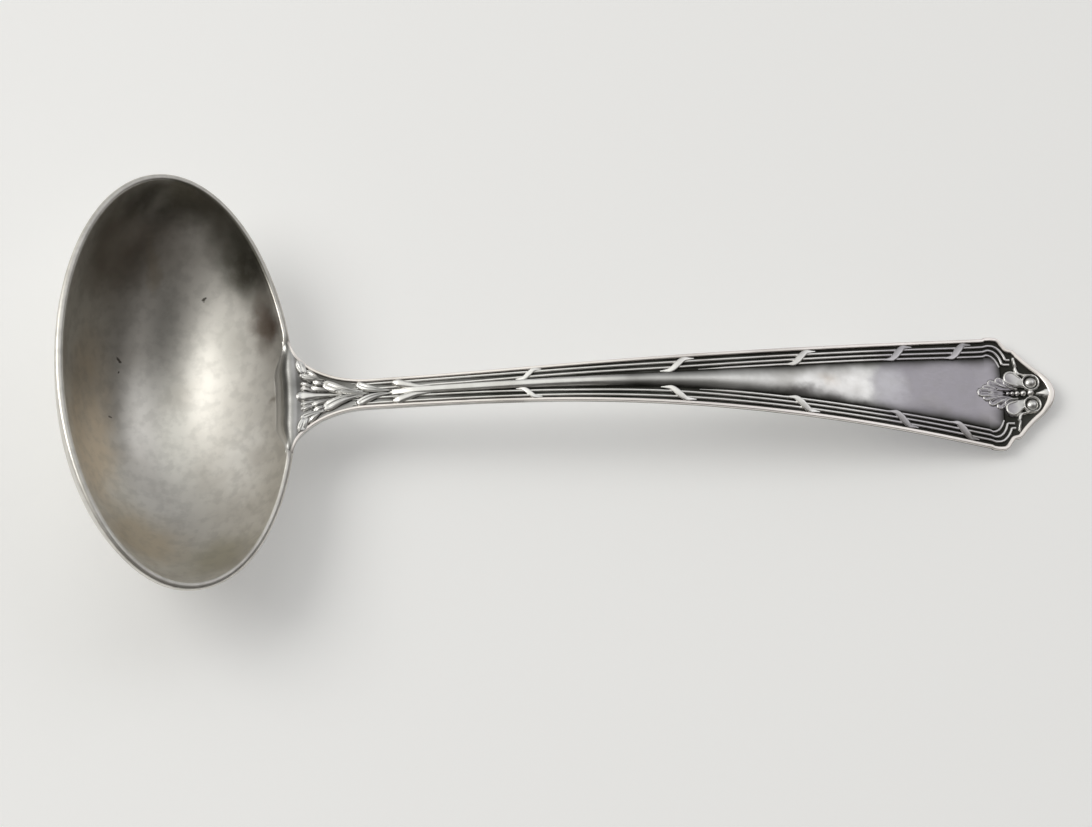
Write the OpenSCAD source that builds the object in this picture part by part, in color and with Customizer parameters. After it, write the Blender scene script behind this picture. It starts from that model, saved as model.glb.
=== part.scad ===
// Gravy ladle: an oval bowl set across a long handle, struck and formed as one piece of silver.
// +X runs from the bowl to the handle's tip, Y is across, +Z is up. The ladle lies as it rests
// on a table, on the bowl's underside and the flat end of the handle, with Z = 0 at the table.
// All sizes are in millimetres.

/* [Overall] */
// Length from the bowl's front lip to the handle's tip, seen from above
overall_length = 178.6; // [160:0.2:200]

/* [Bowl] */
// Width of the bowl across the handle, over the lip
bowl_width = 78.8; // [70:0.2:90]
// Length of the bowl along the handle, over the lip
bowl_length = 45.6; // [40:0.2:54]
// Depth inside the bowl below its rim
bowl_depth = 21.6; // [16:0.2:26]
// Thickness of the bowl's wall
bowl_wall = 1.1; // [0.8:0.05:1.6]
// Extra thickness of the rounded lip on the rim's outside
lip_swell = 0.25; // [0.1:0.05:0.5]
// Height of the rounded lip
lip_height = 1.4; // [0.8:0.1:2.5]
// Fullness of the bowl's profile, from a pointed curve to a round one
bowl_fullness = 1.35; // [1.15:0.05:1.8]
// Slope of the rim at rest, with the front lip up, in degrees
bowl_tilt = 27; // [18:1:34]

/* [Handle] */
// Width at the narrowest place, the neck
neck_width = 5.6; // [4.5:0.1:8]
// Distance from the bowl to the narrowest place
neck_distance = 13; // [10:0.5:18]
// Width that the root's rounded corners add at the bowl, each side
root_flare = 8; // [5:0.5:11]
// Thickness at the neck
neck_thickness = 3; // [2.2:0.1:4]
// Width over the shoulders, near the tip
shoulder_width = 22.2; // [18:0.2:27]
// Distance from the shoulders to the tip
shoulder_to_tip = 10; // [8.5:0.5:12]
// Thickness at the end
end_thickness = 2; // [1.4:0.1:2.8]
// Slope at which the handle leaves the bowl, in degrees
root_slope = 2; // [0:0.5:6]
// Rise of the arch above the bowl's end of the handle
arch_rise = 2.9; // [1.5:0.1:6]
// Distance from the bowl to the top of the arch
arch_distance = 53; // [40:1:65]
// Length at the tip that lies flat on the table
flat_length = 5; // [3:0.5:8]
// Length of the bend before the flat end
bend_length = 10; // [6:0.5:14]
// Radius of that bend
bend_radius = 33; // [25:1:60]

/* [Border] */
// Number of reeds inside the raised edge
reed_count = 3; // [2:1:4]
// Width of the border at the neck
band_at_neck = 2.2; // [1.8:0.05:2.35]
// Width of the border at the shoulders
band_at_end = 3.7; // [3:0.1:4.5]
// Height of the raised edge above the ground between the reeds
edge_height = 0.5; // [0.3:0.05:0.7]
// Height of the reeds above that ground
reed_height = 0.38; // [0.2:0.02:0.5]
// Depth of that ground below the handle's smooth field
ground_depth = 0.3; // [0.15:0.05:0.45]
// Height of the smooth rib along the middle of the neck
rib_height = 0.6; // [0.3:0.05:1]

/* [Ornament] */
// Width of the ribbons that cross the reeds
ribbon_width = 1.5; // [0.9:0.1:1.8]
// Height of the ribbons above the reeds' ground
ribbon_height = 0.55; // [0.45:0.05:0.8]
// Height of the leaves above their ground
leaf_height = 0.75; // [0.5:0.05:1]
// Radius of the two scrolls at the tip, to the middle of their band
scroll_radius = 1.55; // [1.2:0.05:1.8]
// Number of beads on the middle line at the tip
bead_count = 5; // [3:1:7]
// Radius of the largest bead
bead_radius = 0.55; // [0.35:0.05:0.7]

/* [Hidden] */

// Steps round the rim and from the bowl's middle to its rim
rim_steps = 48;
wall_steps = 8;
// Depth that a raised piece reaches into the metal under it
bury = 0.5;

semi_long = bowl_width / 2;
semi_short = bowl_length / 2;
tip_x = overall_length / 2;

// Height of the bowl's curve below the rim, as a share of its depth, at a share r of the way out
function bowl_curve(r) = pow(max(0, 1 - r * r), 1 / bowl_fullness);

// The rim's middle stands so high that the tilted bowl just reaches the table
function below_rim(r) =
    r * semi_short * sin(bowl_tilt) + (bowl_depth + bowl_wall) * bowl_curve(r) * cos(bowl_tilt);
rim_mid_z = max([for (i = [0 : 0.01 : 1]) below_rim(i)]);

// Reach of the outside forward of the rim's middle, where the tilted wall bulges past the lip
function forward(r) =
    (r * semi_short) * cos(bowl_tilt) + (bowl_depth + bowl_wall) * bowl_curve(r) * sin(bowl_tilt);
front_reach = max([for (i = [0.8 : 0.01 : 1]) forward(i)]);
rim_mid_x = -tip_x + front_reach;

// Tilts a point of the bowl's own frame, whose rim lies flat, to its place at rest
function seat(p) = [
    rim_mid_x + p[0] * cos(bowl_tilt) + p[2] * sin(bowl_tilt),
    p[1],
    rim_mid_z - p[0] * sin(bowl_tilt) + p[2] * cos(bowl_tilt)
];

// Where the handle starts, at the back of the rim
root = seat([semi_short, 0, 0]);
neck_x = root[0] + neck_distance;
shoulder_x = tip_x - shoulder_to_tip;
arch_x = root[0] + arch_distance;
arch_z = root[2] + arch_rise;
flat_x = tip_x - flat_length;
bend_x = flat_x - bend_length;
bend_z = end_thickness + bend_length * bend_length / 2 / bend_radius;
bend_slope = -bend_length / bend_radius;

// A smooth curve between two heights with given slopes
function blend(x, x0, x1, z0, z1, s0, s1) =
    let (t = (x - x0) / (x1 - x0), l = x1 - x0)
    z0 * (1 + 2 * t) * (1 - t) * (1 - t) + s0 * l * t * (1 - t) * (1 - t)
    + z1 * t * t * (3 - 2 * t) - s1 * l * t * t * (1 - t);
function ease(a, b, x) = let (t = min(1, max(0, (x - a) / (b - a)))) t * t * (3 - 2 * t);

// Height of the handle's smooth field along its length; at the bowl it curls up into the rim
curl_span = 3;
curl_slope = tan(bowl_tilt) / 2 / (curl_span + bowl_wall);
function field_z(x) =
    x < arch_x ? blend(x, root[0], arch_x, root[2], arch_z, tan(root_slope), 0)
        + curl_slope * pow(max(0, root[0] + curl_span - x), 2)
    : x < bend_x ? blend(x, arch_x, bend_x, arch_z, bend_z, 0, bend_slope)
    : end_thickness + pow(max(0, flat_x - x), 2) / 2 / bend_radius;

// Half the handle's width: root corners, a slow widening, then the shoulders and the pointed end
flare_x = neck_x - root[0];
function side(x) =
    x < neck_x
    ? neck_width / 2 + root_flare * (1 - sqrt(1 - pow(min(1, (neck_x - x) / flare_x), 2)))
    : (neck_width + (shoulder_width - neck_width) * pow((x - neck_x) / (shoulder_x - neck_x), 2)) / 2;
// The end's outline, as distances back from the tip and shares of the shoulder's half width
tip_outline = [
    [1.08, 0.995], [1, 1], [0.93, 0.955], [0.86, 0.87], [0.8, 0.795], [0.7, 0.782], [0.66, 0.755],
    [0.56, 0.65], [0.42, 0.515], [0.28, 0.405], [0.17, 0.32], [0.09, 0.24], [0.03, 0.14], [0, 0.03]
];
function half_width(x) =
    x < tip_x - tip_outline[0][0] * shoulder_to_tip ? side(x)
    : lookup(tip_x - x, [for (p = tip_outline) [p[0] * shoulder_to_tip, p[1] * shoulder_width / 2]]);

thin_share = 1.4;
function thickness(x) =
    end_thickness + (neck_thickness - end_thickness)
    * pow(1 - min(1, max(0, (x - neck_x) / (bend_x - neck_x))), thin_share);
function band(x) =
    band_at_neck + (band_at_end - band_at_neck)
    * min(1, max(0, (half_width(x) * 2 - neck_width) / (shoulder_width - neck_width)));

// The reeds stop under the leaves at the root, and before the shoulders' corners
reeds_under_leaves = 9;
reeds_start = root[0] + reeds_under_leaves;
reeds_end = shoulder_x - 1.5;
function reeds_on(x) = ease(reeds_start - 1, reeds_start + 1, x) * (1 - ease(reeds_end, reeds_end + 1, x));
// The rib comes up past the root's leaves and later turns into the wide flat field
rib_start = root[0] + 16;
rib_grow = 8;
rib_fade_start = arch_x + 20;
rib_fade_end = arch_x + 50;
rib_fade = 0.85;
function rib(x) =
    rib_height * (1 - rib_fade * ease(rib_fade_start, rib_fade_end, x))
    * ease(rib_start, rib_start + rib_grow, x);

// Where the smooth field gives way to sunk ground under the ornament: 1 on the ground, 0 on the field
field_start = 5;
corner_start = 0.3;
corner_end = 0.8;
function sunk(x) = max(
    1 - ease(rib_start, rib_start + field_start, x),
    ease(shoulder_x - corner_start, shoulder_x + corner_end, x)
);
// Past the shoulders' start the border widens with the reeds that turn inwards
turn_share = 0.5;
function turned_band(x) =
    band(x) + turn_share * band_at_end * ease(reeds_end, shoulder_x + corner_end, x);

// The raised edge, as [share of the border's width, share of the edge's height]
edge_profile = [[0, 0.35], [0.04, 0.85], [0.1, 1], [0.17, 0.6]];
// Where the first groove and the reeds stand, as shares of the border's width
first_groove = 0.26;
first_reed = 0.385;
last_reed = 0.845;
function reed_share(k) = first_reed + (last_reed - first_reed) * k / max(1, reed_count - 1);
// Half the width of a reed's crest, and the distance from its middle to the groove after it
crest = 0.045;
groove = 0.11;
// The rib's rise over the field, as [share of the way from the middle, share of the rib's height]
rib_profile = [[1, 0.1], [0.55, 0.7]];
// Most of the half width that the border may take
band_limit = 0.8;

// Top of one section from the edge to the middle, as [distance across, height over the field]
function section_top(x) =
    let (w = half_width(x), b = min(band(x), w * band_limit), low = -ground_depth,
        inner = w - min(turned_band(x), w * band_limit),
        edge = edge_height * ease(root[0] - bowl_wall, root[0] + bowl_wall, x))
    concat(
        [for (p = edge_profile) [w - b * p[0], low + edge * p[1]]],
        [[w - b * first_groove, low]],
        [for (k = [0 : reed_count - 1], s = [-crest, crest, groove])
            [w - b * (reed_share(k) + s), low + (s < groove ? reed_height * reeds_on(x) : 0)]],
        [for (p = rib_profile) [inner * p[0], low * sunk(x) + rib(x) * p[1]]]
    );

// Near the bowl a section bends with the rim and follows the wall down, and the metal is thicker;
// its lower points lie inside the wall and its corners sink into the lip
heel_span = 7;
heel_drop = 1.4;
heel_tuck = 0.65;
corner_sink = 0.75;
corner_power = 5;
root_half = neck_width / 2 + root_flare;
function near_root(x) = 1 - ease(root[0], root[0] + heel_span, x);
function wall_reach(y, down) =
    let (left = 1 - pow(down / (bowl_depth + bowl_wall), bowl_fullness) - pow(y / semi_long, 2))
    semi_short * sqrt(max(0, left));
function place(x, y, z_top, down) =
    let (k = near_root(x), bow = k * (semi_short - wall_reach(y, 0)),
        in = wall_reach(y, 0) - wall_reach(y, down) - bowl_wall * heel_tuck * min(1, down),
        sink = down > 0 ? 0 : corner_sink * k * pow(min(1, abs(y) / root_half), corner_power))
    [
        x - bow * cos(bowl_tilt) - k * (in * cos(bowl_tilt) + down * sin(bowl_tilt)),
        y,
        z_top + bow * sin(bowl_tilt) - sink - down * (1 - k)
            + k * (in * sin(bowl_tilt) - down * cos(bowl_tilt))
    ];

// The rounded underside, as [share of the half width, share of the thickness]
underside = [[-0.99, 0.5], [-0.82, 0.86], [-0.4, 1], [0.4, 1], [0.82, 0.86], [0.99, 0.5]];

// One closed section: across the top from left to right, then back under it
function section(x) =
    let (z = field_z(x), t = thickness(x) + heel_drop * near_root(x), w = half_width(x),
        top = section_top(x), n = len(top))
    concat(
        [for (p = top) place(x, p[0], z + p[1], 0)],
        [place(x, 0, z + rib(x) * (1 - sunk(x)) - ground_depth * sunk(x), 0)],
        [for (i = [n - 1 : -1 : 0]) place(x, -top[i][0], z + top[i][1], 0)],
        [for (q = underside) place(x, q[0] * w, z, q[1] * t)]
    );

// A closed skin through a list of sections that all have the same number of points
module skin(rings) {
    n = len(rings[0]);
    m = len(rings);
    polyhedron(
        points = [for (r = rings, p = r) p],
        faces = concat(
            [for (i = [0 : m - 2], j = [0 : n - 1])
                let (a = i * n + j, b = i * n + (j + 1) % n) each [[a, b + n, b], [a, a + n, b + n]]],
            [[for (j = [0 : n - 1]) j]],
            [[for (j = [n - 1 : -1 : 0]) (m - 1) * n + j]]
        ),
        convexity = 10
    );
}

// Sections stand close together in the root's corners, as shares of the way to the neck
root_stations = [0, 0.02, 0.07, 0.14, 0.23, 0.35, 0.51, 0.69, 0.88];
neck_to_end_steps = 11;
module handle() {
    stations = concat(
        [root[0] - bowl_wall],
        [for (t = root_stations) root[0] + t * neck_distance],
        [for (i = [1 : neck_to_end_steps]) neck_x + (reeds_end - neck_x) * i / neck_to_end_steps],
        [for (p = tip_outline) tip_x - p[0] * shoulder_to_tip]
    );
    skin([for (x = stations) section(x)]);
}

// The rounded lip over the wall, as [0 for the inner side or 1 for the outer side, share of the
// lip's height below the rim, share of the lip's swell]
lip_profile = [[0, -0.085, 1], [1, -0.085, -0.4], [1, 0.07, 1], [1, 1, -0.4]];

// The bowl: a ring of points for each step down the wall, inside and outside
module bowl() {
    steps = [for (i = [0 : wall_steps]) 90 * i / wall_steps];
    inner = [semi_short - bowl_wall, semi_long - bowl_wall, bowl_depth];
    outer = [semi_short, semi_long, bowl_depth + bowl_wall];
    function ring(size, t, drop = 0, swell = 0) =
        [for (j = [0 : rim_steps - 1])
            let (a = 360 * j / rim_steps)
            seat([(size[0] + swell) * sin(t) * cos(a), (size[1] + swell) * sin(t) * sin(a),
                -size[2] * bowl_curve(sin(t)) - drop])];
    inside = [for (i = [1 : wall_steps]) ring(inner, steps[i])];
    outside = [for (i = [wall_steps - 1 : -1 : 1]) ring(outer, steps[i])];
    lip = [for (p = lip_profile) ring(p[0] < 0.5 ? inner : outer, 90, p[1] * lip_height, p[2] * lip_swell)];
    rings = concat(inside, lip, outside);
    n = rim_steps;
    m = len(rings);
    polyhedron(
        points = concat([for (r = rings, p = r) p], [seat([0, 0, -inner[2]]), seat([0, 0, -outer[2]])]),
        faces = concat(
            [for (i = [0 : m - 2], j = [0 : n - 1])
                let (a = i * n + j, b = i * n + (j + 1) % n) each [[a, b, b + n], [a, b + n, a + n]]],
            [for (j = [0 : n - 1]) [(j + 1) % n, j, m * n]],
            [for (j = [0 : n - 1]) [(m - 1) * n + j, (m - 1) * n + (j + 1) % n, m * n + 1]]
        ),
        convexity = 10
    );
}

// A raised piece on the handle: a rounded ridge that follows a path, with a half width and a
// height at each of its points
keeled = [[1, 0.5], [0, 1], [-1, 0.5], [-0.8, -1], [0.8, -1]];
flat_topped = [[1, 0.8], [0.5, 1], [-0.5, 1], [-1, 0.8], [-0.8, -1], [0.8, -1]];
function on_ground(x, y, h) = place(x, y, field_z(x) - ground_depth + h, 0);
module ridge(path, half, high, profile = keeled) {
    m = len(path);
    skin([for (i = [0 : m - 1])
        let (a = path[max(0, i - 1)], b = path[min(m - 1, i + 1)], d = (b - a) / norm(b - a),
            across = [-d[1], d[0]])
        [for (p = profile)
            let (q = path[i] + across * p[0] * half[i])
            on_ground(q[0], q[1], p[1] < 0 ? -bury : p[1] * high[i])]]);
}

// Points along a bend from a to c that leans towards b
function bend(a, b, c, n) =
    [for (i = [0 : n]) let (t = i / n) a * (1 - t) * (1 - t) + b * 2 * t * (1 - t) + c * t * t];

// A leaf from its stem to its blunt end: how wide and how high it is at a share t of its length
leaf_stem = 0.18;
leaf_spread = 0.95;
leaf_round = 0.75;
leaf_crown = 0.45;
function leaf_wide(t) = (leaf_stem + leaf_spread * t) * sqrt(1 - leaf_round * pow(t, 6));
function leaf_high(t) = 1 - leaf_crown + leaf_crown * sin(180 * pow(t, 1.5));
module leaf(stem, end, half, bow = 0, high = leaf_height, n = 4) {
    d = end - stem;
    path = bend(stem, (stem + end) / 2 + [-d[1], d[0]] * bow, end, n);
    ridge(path, [for (i = [0 : n]) half * leaf_wide(i / n)], [for (i = [0 : n]) high * leaf_high(i / n)]);
}

// Both sides of the middle line
module both() {
    children();
    mirror([0, 1, 0]) children();
}

// The leaves at the root, as [stem, end, half width, bow]; each point is a distance from the
// bowl and a distance from the middle line
root_leaves = [
    [[21.5, 0.35], [16.6, 1.75], 0.7, 0.1],
    [[17.5, 0.2], [10.8, 1.6], 0.75, 0.1],
    [[12.6, 0.25], [5, 1.95], 1.05, 0.08],
    [[9, 0.2], [2.7, 1.45], 0.55, 0.05],
    [[4.8, 1.5], [1, 2.45], 0.65, 0.1],
    [[4.6, 2.4], [1, 4.2], 0.8, 0.1],
    [[3.2, 4], [0.7, 6.9], 0.75, 0.12]
];
// The bud on the middle line, a little higher than the leaves
root_bud = [[8, 0], [0.9, 0], 1];
bud_over_leaves = 1.15;
module husks() {
    o = [root[0], 0];
    both() for (l = root_leaves) leaf(o + l[0], o + l[1], l[2], l[3]);
    leaf(o + root_bud[0], o + root_bud[1], root_bud[2], 0, leaf_height * bud_over_leaves);
}

// The ribbons cross the border slantwise, each with a fine tail along the reeds at both ends
ribbon_from_tip = [95.6, 69.1, 46.8, 28.7, 17.4];
// Half the length of a ribbon, and where it starts and ends across, as shares of the border's width
ribbon_reach = 0.6;
ribbon_in = 0.9;
ribbon_out = 0.12;
tail_half = 0.07;
tail_low = 0.75;
module ribbons() {
    n = 6;
    both() for (d = ribbon_from_tip) {
        x0 = tip_x - d;
        path = [for (i = [0 : n])
            let (t = i / n, x = x0 + (2 * t - 1) * ribbon_reach * band(x0),
                across = ribbon_in - (ribbon_in - ribbon_out) * ease(0.12, 0.88, t))
            [x, half_width(x) - band(x) * across]];
        wide = [for (i = [0 : n])
            tail_half + ribbon_width / 2 * pow(sin(180 * i / n), 1.3) * band(x0) / band_at_end];
        high = [for (i = [0 : n]) ribbon_height * (tail_low + (1 - tail_low) * sin(180 * i / n))];
        ridge(path, wide, high, flat_topped);
    }
}

// Past the shoulders each reed turns inwards and stops at a square end; the first one's end and
// the step to the next, as distances from the tip and from the middle line
reed_stop = [7.1, 7.4];
reed_stop_step = [1.15, -0.95];
reed_turn = [1.7, 0.45];
reed_overlap = [0.6, 0.08];
reed_half = 0.24;
module reed_ends() {
    n = 5;
    both() for (k = [0 : reed_count - 1]) {
        y0 = half_width(reeds_end) - band(reeds_end) * reed_share(k);
        stop = [tip_x - reed_stop[0], reed_stop[1]] + k * [-reed_stop_step[0], reed_stop_step[1]];
        turn = [stop[0] - reed_turn[0], y0 + reed_turn[1]];
        path = bend([reeds_end - reed_overlap[0], y0 - reed_overlap[1]], turn, stop, n);
        ridge(path, [for (i = [0 : n]) reed_half], [for (i = [0 : n]) reed_height]);
    }
}

// Two scrolls at the tip: a tail from the reeds' ends that winds round a domed eye
scroll_at = [3.9, 2.15];
scroll_turns = 1.15;
scroll_from = 140;
scroll_closing = 0.3;
scroll_half = 0.24;
scroll_under_leaves = 0.85;
scroll_tail = [[6.6, 7.4], [6.35, 6.2], [5.9, 4.9], [5.5, 4.1]];
// The eye's radius as a share of the scroll's, and the radius of its flat top
eye_share = 0.52;
eye_top = 0.25;
module scrolls() {
    n = 14;
    c = [tip_x - scroll_at[0], scroll_at[1]];
    coil = [for (i = [0 : n])
        let (t = i / n, a = scroll_from - 360 * scroll_turns * t,
            r = scroll_radius * (1 - scroll_closing * t))
        c + r * [cos(a), sin(a)]];
    path = concat([for (p = scroll_tail) [tip_x - p[0], p[1]]], coil);
    both() {
        ridge(path, [for (p = path) scroll_half], [for (p = path) leaf_height * scroll_under_leaves]);
        hull() {
            translate(on_ground(c[0], c[1], 0)) cylinder(h = 0.2, r = scroll_radius * eye_share, $fn = 12);
            translate(on_ground(c[0], c[1], leaf_height)) cylinder(h = 0.05, r = eye_top, $fn = 8);
        }
    }
}

// The leaf at the end, in three parts with side lobes, which points back along the handle;
// places are distances from the tip and from the middle line
end_leaves = [
    [[9.6, 0.35], [12.4, 1.1], 0.85, 0.1],
    [[8.3, 0.8], [11.7, 2.45], 0.85, 0.2],
    [[8.8, 1.3], [10.2, 2.85], 0.8, 0.1],
    [[6.2, 1.9], [9.5, 3], 1.05, 0.25],
    [[6, 2.6], [9.1, 4.3], 1.1, 0.1],
    [[5.8, 3.3], [7.6, 5.1], 0.95, -0.1]
];
end_middle_leaf = [9.2, 14.4, 0.95];
module end_leaf() {
    m = end_middle_leaf;
    both() for (l = end_leaves) leaf([tip_x - l[0][0], l[0][1]], [tip_x - l[1][0], l[1][1]], l[2], l[3]);
    leaf([tip_x - m[0], 0], [tip_x - m[1], 0], m[2]);
}

// A row of beads that grow towards the tip, and a drop that fills the point
bead_run = [8.5, 3.8];
bead_growth = 0.45;
bead_spacing_power = 1.25;
drop_run = [2.9, 1.4];
drop_start = 0.25;
drop_end = 0.95;
module beads() {
    for (i = [0 : bead_count - 1]) {
        t = i / max(1, bead_count - 1);
        r = bead_radius * (1 - bead_growth * (1 - t));
        x = tip_x - bead_run[0] + (bead_run[0] - bead_run[1]) * pow(t, bead_spacing_power);
        hull() {
            for (d = [-0.1, 0.1]) translate(on_ground(x + d * r, 0, r * 0.5)) sphere(r = r, $fn = 8);
        }
    }
    hull() {
        translate(on_ground(tip_x - drop_run[0], 0, 0.1)) sphere(r = drop_start, $fn = 8);
        translate(on_ground(tip_x - drop_run[1], 0, 0)) scale([0.6, 1, 0.8]) sphere(r = drop_end, $fn = 12);
    }
}

module ladle() {
    color("silver") {
        bowl();
        handle();
        husks();
        ribbons();
        reed_ends();
        end_leaf();
        scrolls();
        beads();
    }
}

ladle();
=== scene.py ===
# %% [markdown]
# # A silver gravy ladle
# The ladle is one piece of old silver: an oval bowl across a long handle, with reeds, ribbons,
# leaves, scrolls and beads struck into the handle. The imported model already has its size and
# place. This lesson gives each part of it the fine form and the toned silver of the real one.

import math

import bpy
import numpy as np
from mathutils import Euler, Matrix, Vector


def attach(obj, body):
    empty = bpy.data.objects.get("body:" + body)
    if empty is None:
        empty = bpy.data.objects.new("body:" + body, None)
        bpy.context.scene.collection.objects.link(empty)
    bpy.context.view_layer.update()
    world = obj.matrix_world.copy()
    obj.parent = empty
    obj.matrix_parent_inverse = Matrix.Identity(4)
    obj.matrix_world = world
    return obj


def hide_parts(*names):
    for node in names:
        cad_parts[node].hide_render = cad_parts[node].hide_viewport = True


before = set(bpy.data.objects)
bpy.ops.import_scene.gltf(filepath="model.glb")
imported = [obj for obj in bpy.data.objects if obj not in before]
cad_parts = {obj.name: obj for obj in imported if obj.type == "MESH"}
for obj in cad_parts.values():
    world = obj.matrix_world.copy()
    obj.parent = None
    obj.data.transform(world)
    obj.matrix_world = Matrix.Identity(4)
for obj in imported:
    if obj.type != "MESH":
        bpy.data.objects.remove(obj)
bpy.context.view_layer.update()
MM = 0.001


def new_object(name, data):
    """Puts an object that shows the given data into the scene."""
    thing = bpy.data.objects.new(name, data)
    bpy.context.scene.collection.objects.link(thing)
    return thing


# %% [markdown]
# ## The camera
# A long lens looks down on the ladle. Its place and turn were worked out from the ladle's
# outline, so it comes first: everything after it can be compared with the photograph.

# %% The camera
LENS_DEG = 14.0
# Its place in millimetres, and how the ladle turns round X, Y and Z to face it
CAMERA_AT = np.array([-39.9, -316.8, 735.4])
CAMERA_TURN = np.radians([-23.32, 2.65, 1.97])
camera_data = bpy.data.cameras.new("camera")
camera_data.sensor_fit = "HORIZONTAL"
camera_data.angle = math.radians(LENS_DEG)
camera_data.clip_start = 0.01
camera = new_object("camera", camera_data)
camera_turn = Euler(CAMERA_TURN.tolist(), "XYZ").to_matrix().transposed()
camera.matrix_world = Matrix.Translation(CAMERA_AT * MM) @ camera_turn.to_4x4()
bpy.context.scene.camera = camera
print("camera", round(float(np.linalg.norm(CAMERA_AT))), "mm from the middle of the ladle")

# %% [markdown]
# ## Sizes
# All sizes are in millimetres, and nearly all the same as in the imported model. X runs along the
# handle to its tip, Y across it, and Z up from the table.

# %% Sizes of the bowl and the handle
tip_x = 89.3
bowl_width, bowl_length, bowl_depth, bowl_wall = 78.8, 45.6, 21.6, 1.1
bowl_fullness, bowl_tilt = 1.35, math.radians(27)
neck_width, neck_distance, root_flare, neck_thickness = 5.6, 13.0, 8.0, 3.0
shoulder_width, shoulder_to_tip, end_thickness = 22.2, 10.0, 2.0
root_slope, arch_rise, arch_distance = math.radians(2), 2.9, 53.0
flat_length, bend_length, bend_radius = 5.0, 10.0, 33.0
band_at_neck, band_gain, band_at_end = 2.2, 1.15, 3.7
ground_depth, rib_height = 0.3, 0.6
leaf_height, scroll_radius, bead_radius = 0.75, 1.5, 0.6
semi_long, semi_short = bowl_width / 2, bowl_length / 2
cos_tilt, sin_tilt = math.cos(bowl_tilt), math.sin(bowl_tilt)
print("ladle", tip_x * 2, "mm long, bowl", bowl_width, "x", bowl_length, "mm")


# %% The curves that the whole form follows
def bowl_curve(r):
    """Depth of the bowl as a share, at the share r of the way from its middle to its rim."""
    return np.maximum(0, 1 - np.square(r)) ** (1 / bowl_fullness)


def reach(r, along, up):
    """How far the outer wall reaches in a direction with the given parts along and up."""
    return r * semi_short * along + (bowl_depth + bowl_wall) * bowl_curve(r) * up


rim_mid_z = reach(np.arange(0, 1.005, 0.01), sin_tilt, cos_tilt).max()
rim_mid_x = -tip_x + reach(np.arange(0.8, 1.005, 0.01), cos_tilt, sin_tilt).max()


def seat(x, y, z):
    """Tilts points of the bowl, whose rim lies flat, to their place at rest."""
    x, y, z = np.broadcast_arrays(x, y, z)
    return np.stack(
        [rim_mid_x + x * cos_tilt + z * sin_tilt, y, rim_mid_z - x * sin_tilt + z * cos_tilt], -1
    ).astype(float)


def ease(a, b, x):
    """A soft step from 0 at a to 1 at b."""
    t = np.clip((x - a) / (b - a), 0, 1)
    return t * t * (3 - 2 * t)


def blend(x, x0, x1, z0, z1, s0, s1):
    """A smooth curve between two heights with given slopes."""
    length, t = x1 - x0, (x - x0) / (x1 - x0)
    return (
        z0 * (1 + 2 * t) * (1 - t) ** 2 + s0 * length * t * (1 - t) ** 2
        + z1 * t * t * (3 - 2 * t) - s1 * length * t * t * (1 - t)
    )


root_x, _, root_z = seat(semi_short, 0, 0)
neck_x, shoulder_x = root_x + neck_distance, tip_x - shoulder_to_tip
arch_x, arch_z = root_x + arch_distance, root_z + arch_rise
flat_x = tip_x - flat_length
bend_x = flat_x - bend_length
bend_z = end_thickness + bend_length**2 / 2 / bend_radius
bend_slope = -bend_length / bend_radius
curl_span = 3.0
curl_slope = math.tan(bowl_tilt) / 2 / (curl_span + bowl_wall)


def field_z(x):
    """Height of the handle's smooth field along its length."""
    near = blend(x, root_x, arch_x, root_z, arch_z, math.tan(root_slope), 0)
    near = near + curl_slope * np.maximum(0, root_x + curl_span - x) ** 2
    middle = blend(x, arch_x, bend_x, arch_z, bend_z, 0, bend_slope)
    end = end_thickness + np.maximum(0, flat_x - x) ** 2 / 2 / bend_radius
    return np.where(x < arch_x, near, np.where(x < bend_x, middle, end))


print("the handle leaves the bowl at x =", round(float(root_x), 2), "z =", round(float(root_z), 2))

# %% [markdown]
# ## The outline
# The handle is narrow at the neck and widens like a parabola to the shoulders. Its end is a
# run of curves: a round shoulder, a notch, a small ear and a slope to the blunt tip. A curve
# that never overshoots its points keeps the notch crisp and the slopes smooth.

# %% The handle's half width
# Distance back from the tip and half width, as shares of those at the shoulders
END_OUTLINE = np.array([
    (0, 0.0), (0.02, 0.09), (0.07, 0.2), (0.17, 0.315), (0.28, 0.405), (0.42, 0.515),
    (0.56, 0.645), (0.645, 0.735), (0.69, 0.775), (0.74, 0.79), (0.8, 0.8), (0.86, 0.868),
    (0.93, 0.952), (1, 0.99), (1.1, 0.998), (1.25, 0.985),
])
END_SPAN = END_OUTLINE[-1, 0]


def smooth_steps(xs, ys):
    """Slopes for a curve through the points that keeps rising where they rise."""
    d = np.diff(ys) / np.diff(xs)
    slope = np.zeros(len(xs))
    inner = np.where(d[1:] * d[:-1] > 0, 2 * d[1:] * d[:-1] / (d[1:] + d[:-1] + 1e-12), 0)
    slope[1:-1], slope[0], slope[-1] = inner, d[0], d[-1]
    return slope


def through(x, xs, ys):
    """Values at x of the smooth curve through the points (xs, ys)."""
    slope = smooth_steps(xs, ys)
    i = np.clip(np.searchsorted(xs, x) - 1, 0, len(xs) - 2)
    return blend(x, xs[i], xs[i + 1], ys[i], ys[i + 1], slope[i], slope[i + 1])


def side(x):
    """Half width from the bowl to the shoulders."""
    t = np.clip((neck_x - x) / neck_distance, 0, 1)
    corner = neck_width / 2 + root_flare * (1 - np.sqrt(1 - t * t))
    share = np.maximum(0, x - neck_x) / (shoulder_x - neck_x)
    widening = (neck_width + (shoulder_width - neck_width) * share**2) / 2
    return np.where(x < neck_x, corner, widening)


def half_width(x):
    """Half width of the whole outline."""
    x = np.asarray(x, float)
    back = np.clip((tip_x - x) / shoulder_to_tip, 0, END_SPAN)
    end = through(back, END_OUTLINE[:, 0], END_OUTLINE[:, 1]) * shoulder_width / 2
    return np.where(x < tip_x - END_SPAN * shoulder_to_tip, side(x), end)


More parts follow.
